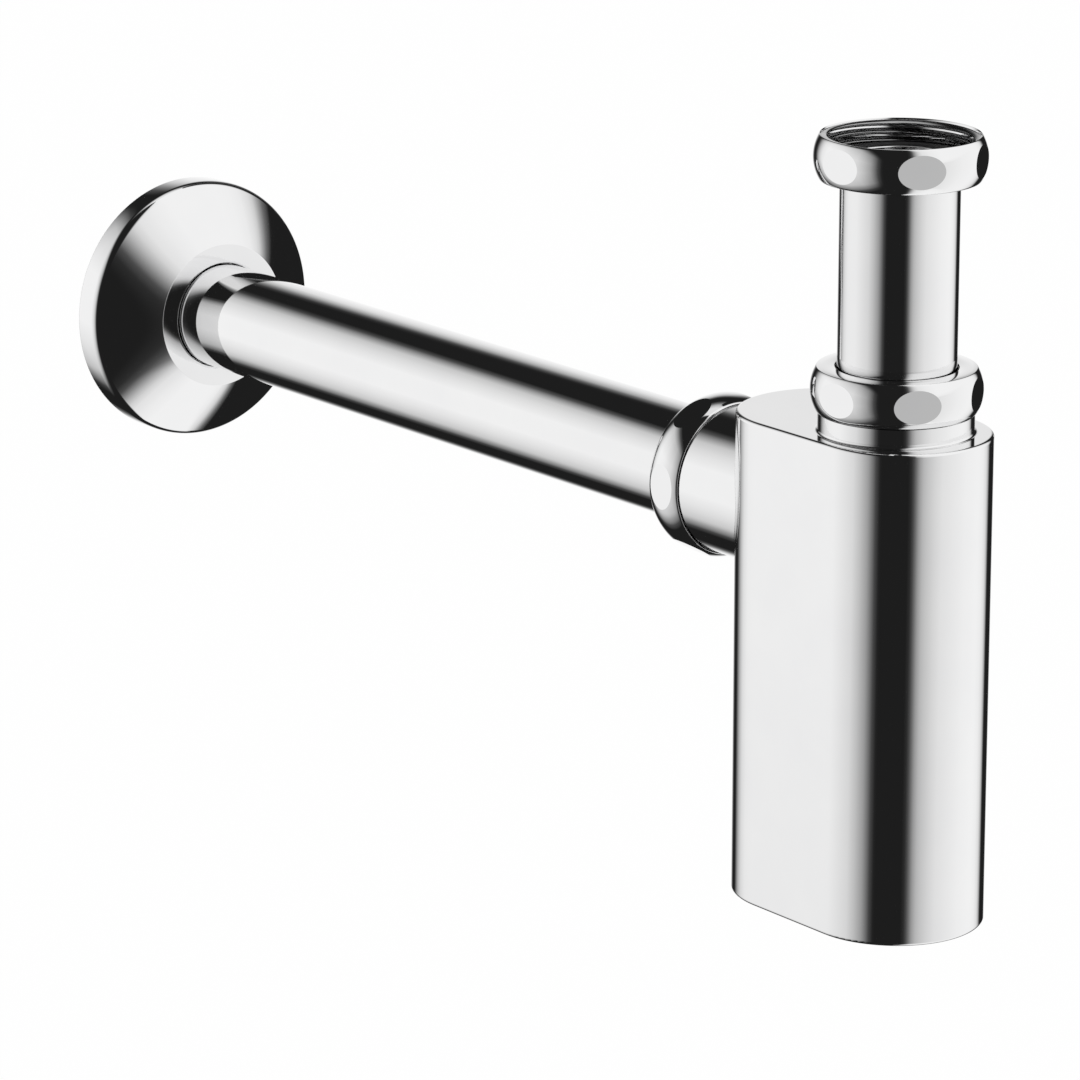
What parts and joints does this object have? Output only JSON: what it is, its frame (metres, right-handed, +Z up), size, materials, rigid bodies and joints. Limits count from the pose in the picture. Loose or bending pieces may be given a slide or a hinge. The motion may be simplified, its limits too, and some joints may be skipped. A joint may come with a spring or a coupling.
{
  "type": "sink trap",
  "caption": "Flat bottle trap for a basin: a chromed body with an upright inlet tube and a long wall tube on union nuts, and a conical wall cover plate.",
  "frame": {"origin": "on the inlet axis, at the mouth of the inlet nut that screws on the basin waste", "axes": "+Z up along the inlet axis to the basin, +Y along the wall tube to the wall, +X across the flat body"},
  "size_m": [0.08, 0.3854, 0.216],
  "materials": {
    "chromed_brass": "polished mirror chrome",
    "black_rubber": "matt rubber",
    "white_plastic": "smooth plastic"
  },
  "bodies": {
    "trap": {"trap_body": "chromed_brass"},
    "neck_seal": {"neck_cone_seal": "black_rubber"},
    "inlet_pipe": {"inlet_tube": "chromed_brass", "inlet_gasket": "black_rubber"},
    "inlet_washer": {"inlet_slip_washer": "white_plastic"},
    "inlet_union": {"inlet_nut": "chromed_brass"},
    "neck_washer": {"neck_slip_washer": "white_plastic"},
    "neck_union": {"neck_nut": "chromed_brass"},
    "outlet_washer": {"outlet_slip_washer": "white_plastic"},
    "outlet_union": {"outlet_nut": "chromed_brass"},
    "outlet_seal": {"outlet_cone_seal": "black_rubber"},
    "wall_pipe": {"wall_tube": "chromed_brass"},
    "wall_cover": {"escutcheon": "chromed_brass", "escutcheon_ring": "black_rubber"}
  },
  "joints": [
    {"name": "tube_swivel", "type": "hinge", "parent": "trap", "child": "neck_seal", "pos_m": [0, 0, -0.06692], "axis": [0, 0, 1], "continuous": true},
    {"name": "inlet_height", "type": "slide", "parent": "neck_seal", "child": "inlet_pipe", "axis": [0, 0, 1], "range_m": [-0.02, 0.015]},
    {"name": "inlet_nut_drop", "type": "slide", "parent": "inlet_pipe", "child": "inlet_washer", "axis": [0, 0, 1], "range_m": [-0.02, 0]},
    {"name": "inlet_nut_turn", "type": "hinge", "parent": "inlet_washer", "child": "inlet_union", "pos_m": [0, 0, 0], "axis": [0, 0, 1], "continuous": true},
    {"name": "neck_nut_lift", "type": "slide", "parent": "trap", "child": "neck_washer", "axis": [0, 0, 1], "range_m": [0, 0.00693]},
    {"name": "neck_nut_turn", "type": "hinge", "parent": "neck_washer", "child": "neck_union", "pos_m": [0, 0, -0.0745], "axis": [0, 0, 1], "range_deg": [0, 1080]},
    {"name": "outlet_nut_shift", "type": "slide", "parent": "trap", "child": "outlet_washer", "axis": [0, 1, 0], "range_m": [0, 0.00693]},
    {"name": "outlet_nut_turn", "type": "hinge", "parent": "outlet_washer", "child": "outlet_union", "pos_m": [0, 0.0653, -0.1072], "axis": [0, 1, 0], "range_deg": [0, 1080]},
    {"name": "wall_tube_turn", "type": "hinge", "parent": "trap", "child": "outlet_seal", "pos_m": [0, 0.07288, -0.1072], "axis": [0, 1, 0], "continuous": true},
    {"name": "wall_tube_slide", "type": "slide", "parent": "outlet_seal", "child": "wall_pipe", "axis": [0, 1, 0], "range_m": [-0.01, 0.015]},
    {"name": "wall_cover_slide", "type": "slide", "parent": "wall_pipe", "child": "wall_cover", "axis": [0, 1, 0], "range_m": [-0.15, 0]}
  ],
  "couplings": [
    {"joint": "neck_nut_lift", "follows": "neck_nut_turn", "m_per_rad": 0.00036749},
    {"joint": "outlet_nut_shift", "follows": "outlet_nut_turn", "m_per_rad": 0.00036749}
  ]
}
